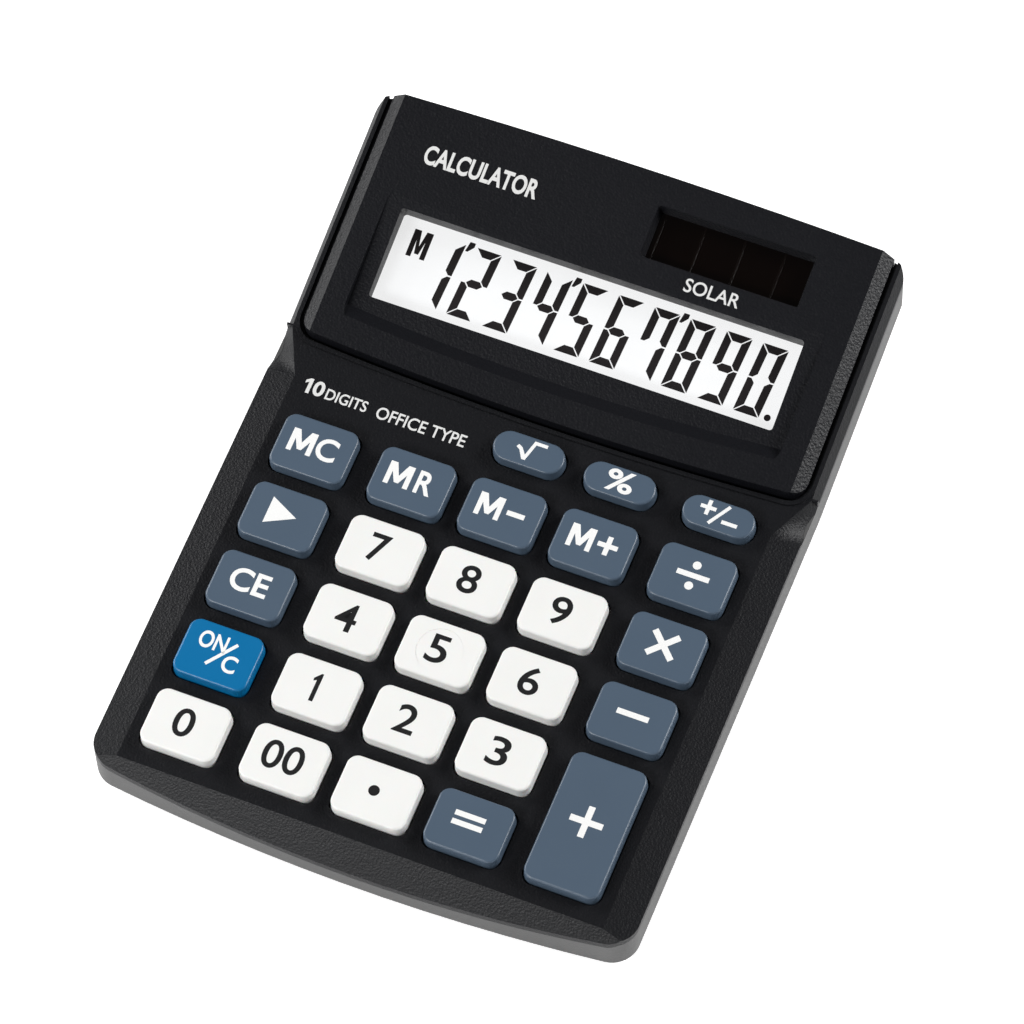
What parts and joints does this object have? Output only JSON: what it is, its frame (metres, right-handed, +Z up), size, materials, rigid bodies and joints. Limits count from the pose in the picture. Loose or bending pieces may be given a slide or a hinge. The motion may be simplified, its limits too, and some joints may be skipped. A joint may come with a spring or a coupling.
{
  "type": "desk calculator",
  "caption": "Wedge-shaped desk calculator with a tilted display panel, a small solar cell, a two-part case and a keypad of sprung rounded keys.",
  "frame": {"origin": "under the middle of the case, on the table", "axes": "+X to the right of the keypad, +Y from the keypad's front to the display at the back, +Z up"},
  "size_m": [0.1012, 0.1374, 0.031],
  "materials": {
    "case_black": "fine matt grain, dark charcoal",
    "panel_grey": "fine matt grain, charcoal",
    "tray_grey": "fine matt grain, mid grey",
    "key_white": "satin, warm white",
    "key_slate": "satin, slate blue grey",
    "key_blue": "satin, mid blue",
    "clear_plastic": "clear, polished",
    "lcd_glass": "clear, polished",
    "lcd_film": "thin clear film",
    "lcd_reflector": "pale matt foil",
    "white_plastic": "moulded, matt",
    "ribbon": "amber film with printed tracks",
    "solar_glass": "near-black, glossy",
    "foam": "soft black foam",
    "grey_rubber": "moulded silicone, matt",
    "board": "green board with a satin lacquer",
    "carbon": "printed carbon",
    "epoxy": "cured black resin",
    "capacitor_can": "drawn can",
    "ceramic": "small fired ceramic blocks",
    "steel": "zinc plated",
    "cell_steel": "nickel plated, satin",
    "spring_metal": "tinned spring strip",
    "black_rubber": "matt",
    "red_wire": "insulation, satin",
    "black_wire": "insulation, satin"
  },
  "bodies": {
    "case": {"battery_cell": "cell_steel", "battery_contact_negative": "spring_metal", "battery_contact_positive": "spring_metal", "battery_door": "tray_grey", "battery_door_screw": "steel", "battery_wire_black": "black_wire", "battery_wire_red": "red_wire", "board_screws": "steel", "capacitor": "capacitor_can", "case_screws": "steel", "chip_blob": "epoxy", "chip_resistors": "ceramic", "circuit_board": "board", "contact_pads": "carbon", "display_cover": "panel_grey", "display_lens": "clear_plastic", "lcd_front_glass": "lcd_glass", "lcd_holder": "white_plastic", "lcd_polariser": "lcd_film", "lcd_rear_glass": "lcd_glass", "lcd_reflector": "lcd_reflector", "lcd_ribbon": "ribbon", "lower_case": "tray_grey", "rubber_domes": "grey_rubber", "rubber_feet": "black_rubber", "rubber_keypad": "grey_rubber", "solar_cell": "solar_glass", "solar_foam_pad": "foam", "solar_wire_black": "black_wire", "solar_wire_red": "red_wire", "upper_case": "case_black"},
    "key_0": {"key_0": "key_white"},
    "key_00": {"key_00": "key_white"},
    "key_1": {"key_1": "key_white"},
    "key_2": {"key_2": "key_white"},
    "key_3": {"key_3": "key_white"},
    "key_4": {"key_4": "key_white"},
    "key_5": {"key_5": "key_white"},
    "key_6": {"key_6": "key_white"},
    "key_7": {"key_7": "key_white"},
    "key_8": {"key_8": "key_white"},
    "key_9": {"key_9": "key_white"},
    "key_backspace": {"key_backspace": "key_slate"},
    "key_ce": {"key_ce": "key_slate"},
    "key_divide": {"key_divide": "key_slate"},
    "key_equals": {"key_equals": "key_slate"},
    "key_m_minus": {"key_m_minus": "key_slate"},
    "key_m_plus": {"key_m_plus": "key_slate"},
    "key_mc": {"key_mc": "key_slate"},
    "key_minus": {"key_minus": "key_slate"},
    "key_mr": {"key_mr": "key_slate"},
    "key_multiply": {"key_multiply": "key_slate"},
    "key_on_c": {"key_on_c": "key_blue"},
    "key_percent": {"key_percent": "key_slate"},
    "key_plus": {"key_plus": "key_slate"},
    "key_point": {"key_point": "key_white"},
    "key_root": {"key_root": "key_slate"},
    "key_sign": {"key_sign": "key_slate"}
  },
  "joints": [
    {"name": "press_0", "type": "slide", "parent": "case", "child": "key_0", "axis": [0, 0.0732, -0.9973], "range_m": [0, 0.0013], "stiffness_N_per_m": 400, "springref_m": -0.0004, "deforming": ["rubber_domes"]},
    {"name": "press_00", "type": "slide", "parent": "case", "child": "key_00", "axis": [0, 0.0732, -0.9973], "range_m": [0, 0.0013], "stiffness_N_per_m": 400, "springref_m": -0.0004, "deforming": ["rubber_domes"]},
    {"name": "press_1", "type": "slide", "parent": "case", "child": "key_1", "axis": [0, 0.0732, -0.9973], "range_m": [0, 0.0013], "stiffness_N_per_m": 400, "springref_m": -0.0004, "deforming": ["rubber_domes"]},
    {"name": "press_2", "type": "slide", "parent": "case", "child": "key_2", "axis": [0, 0.0732, -0.9973], "range_m": [0, 0.0013], "stiffness_N_per_m": 400, "springref_m": -0.0004, "deforming": ["rubber_domes"]},
    {"name": "press_3", "type": "slide", "parent": "case", "child": "key_3", "axis": [0, 0.0732, -0.9973], "range_m": [0, 0.0013], "stiffness_N_per_m": 400, "springref_m": -0.0004, "deforming": ["rubber_domes"]},
    {"name": "press_4", "type": "slide", "parent": "case", "child": "key_4", "axis": [0, 0.0732, -0.9973], "range_m": [0, 0.0013], "stiffness_N_per_m": 400, "springref_m": -0.0004, "deforming": ["rubber_domes"]},
    {"name": "press_5", "type": "slide", "parent": "case", "child": "key_5", "axis": [0, 0.0732, -0.9973], "range_m": [0, 0.0013], "stiffness_N_per_m": 400, "springref_m": -0.0004, "deforming": ["rubber_domes"]},
    {"name": "press_6", "type": "slide", "parent": "case", "child": "key_6", "axis": [0, 0.0732, -0.9973], "range_m": [0, 0.0013], "stiffness_N_per_m": 400, "springref_m": -0.0004, "deforming": ["rubber_domes"]},
    {"name": "press_7", "type": "slide", "parent": "case", "child": "key_7", "axis": [0, 0.0732, -0.9973], "range_m": [0, 0.0013], "stiffness_N_per_m": 400, "springref_m": -0.0004, "deforming": ["rubber_domes"]},
    {"name": "press_8", "type": "slide", "parent": "case", "child": "key_8", "axis": [0, 0.0732, -0.9973], "range_m": [0, 0.0013], "stiffness_N_per_m": 400, "springref_m": -0.0004, "deforming": ["rubber_domes"]},
    {"name": "press_9", "type": "slide", "parent": "case", "child": "key_9", "axis": [0, 0.0732, -0.9973], "range_m": [0, 0.0013], "stiffness_N_per_m": 400, "springref_m": -0.0004, "deforming": ["rubber_domes"]},
    {"name": "press_backspace", "type": "slide", "parent": "case", "child": "key_backspace", "axis": [0, 0.0732, -0.9973], "range_m": [0, 0.0013], "stiffness_N_per_m": 400, "springref_m": -0.0004, "deforming": ["rubber_domes"]},
    {"name": "press_ce", "type": "slide", "parent": "case", "child": "key_ce", "axis": [0, 0.0732, -0.9973], "range_m": [0, 0.0013], "stiffness_N_per_m": 400, "springref_m": -0.0004, "deforming": ["rubber_domes"]},
    {"name": "press_divide", "type": "slide", "parent": "case", "child": "key_divide", "axis": [0, 0.0732, -0.9973], "range_m": [0, 0.0013], "stiffness_N_per_m": 400, "springref_m": -0.0004, "deforming": ["rubber_domes"]},
    {"name": "press_equals", "type": "slide", "parent": "case", "child": "key_equals", "axis": [0, 0.0732, -0.9973], "range_m": [0, 0.0013], "stiffness_N_per_m": 400, "springref_m": -0.0004, "deforming": ["rubber_domes"]},
    {"name": "press_m_minus", "type": "slide", "parent": "case", "child": "key_m_minus", "axis": [0, 0.0732, -0.9973], "range_m": [0, 0.0013], "stiffness_N_per_m": 400, "springref_m": -0.0004, "deforming": ["rubber_domes"]},
    {"name": "press_m_plus", "type": "slide", "parent": "case", "child": "key_m_plus", "axis": [0, 0.0732, -0.9973], "range_m": [0, 0.0013], "stiffness_N_per_m": 400, "springref_m": -0.0004, "deforming": ["rubber_domes"]},
    {"name": "press_mc", "type": "slide", "parent": "case", "child": "key_mc", "axis": [0, 0.0732, -0.9973], "range_m": [0, 0.0013], "stiffness_N_per_m": 400, "springref_m": -0.0004, "deforming": ["rubber_domes"]},
    {"name": "press_minus", "type": "slide", "parent": "case", "child": "key_minus", "axis": [0, 0.0732, -0.9973], "range_m": [0, 0.0013], "stiffness_N_per_m": 400, "springref_m": -0.0004, "deforming": ["rubber_domes"]},
    {"name": "press_mr", "type": "slide", "parent": "case", "child": "key_mr", "axis": [0, 0.0732, -0.9973], "range_m": [0, 0.0013], "stiffness_N_per_m": 400, "springref_m": -0.0004, "deforming": ["rubber_domes"]},
    {"name": "press_multiply", "type": "slide", "parent": "case", "child": "key_multiply", "axis": [0, 0.0732, -0.9973], "range_m": [0, 0.0013], "stiffness_N_per_m": 400, "springref_m": -0.0004, "deforming": ["rubber_domes"]},
    {"name": "press_on_c", "type": "slide", "parent": "case", "child": "key_on_c", "axis": [0, 0.0732, -0.9973], "range_m": [0, 0.0013], "stiffness_N_per_m": 400, "springref_m": -0.0004, "deforming": ["rubber_domes"]},
    {"name": "press_percent", "type": "slide", "parent": "case", "child": "key_percent", "axis": [0, 0.0732, -0.9973], "range_m": [0, 0.0013], "stiffness_N_per_m": 400, "springref_m": -0.0004, "deforming": ["rubber_domes"]},
    {"name": "press_plus", "type": "slide", "parent": "case", "child": "key_plus", "axis": [0, 0.0732, -0.9973], "range_m": [0, 0.0013], "stiffness_N_per_m": 400, "springref_m": -0.0004, "deforming": ["rubber_domes"]},
    {"name": "press_point", "type": "slide", "parent": "case", "child": "key_point", "axis": [0, 0.0732, -0.9973], "range_m": [0, 0.0013], "stiffness_N_per_m": 400, "springref_m": -0.0004, "deforming": ["rubber_domes"]},
    {"name": "press_root", "type": "slide", "parent": "case", "child": "key_root", "axis": [0, 0.0732, -0.9973], "range_m": [0, 0.0013], "stiffness_N_per_m": 400, "springref_m": -0.0004, "deforming": ["rubber_domes"]},
    {"name": "press_sign", "type": "slide", "parent": "case", "child": "key_sign", "axis": [0, 0.0732, -0.9973], "range_m": [0, 0.0013], "stiffness_N_per_m": 400, "springref_m": -0.0004, "deforming": ["rubber_domes"]}
  ]
}
